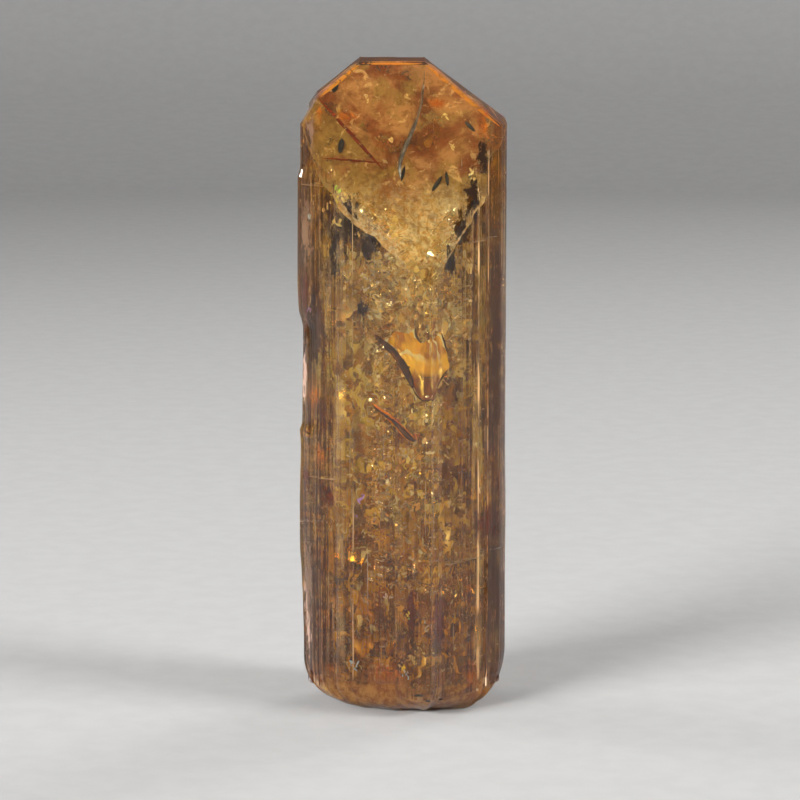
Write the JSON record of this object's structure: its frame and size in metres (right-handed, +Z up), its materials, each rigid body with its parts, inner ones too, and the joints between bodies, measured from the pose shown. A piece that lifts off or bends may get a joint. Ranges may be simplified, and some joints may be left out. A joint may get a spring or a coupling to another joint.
{
  "type": "topaz crystal",
  "caption": "Striated prismatic topaz crystal that stands on its broken base, with one large steep top face and smaller faces behind it.",
  "frame": {"origin": "middle of the bounding box, at the level of the flat of the base", "axes": "+Z up along the prism, -Y towards the large steep top face"},
  "size_m": [0.016, 0.0146, 0.05],
  "materials": {
    "topaz": "natural clear topaz in golden brown, IOR 1.62, growth faces glossy with fine lengthwise striae, healed fractures and iron stain inside"
  },
  "bodies": {
    "root": {"topaz_crystal": "topaz"}
  },
  "joints": []
}
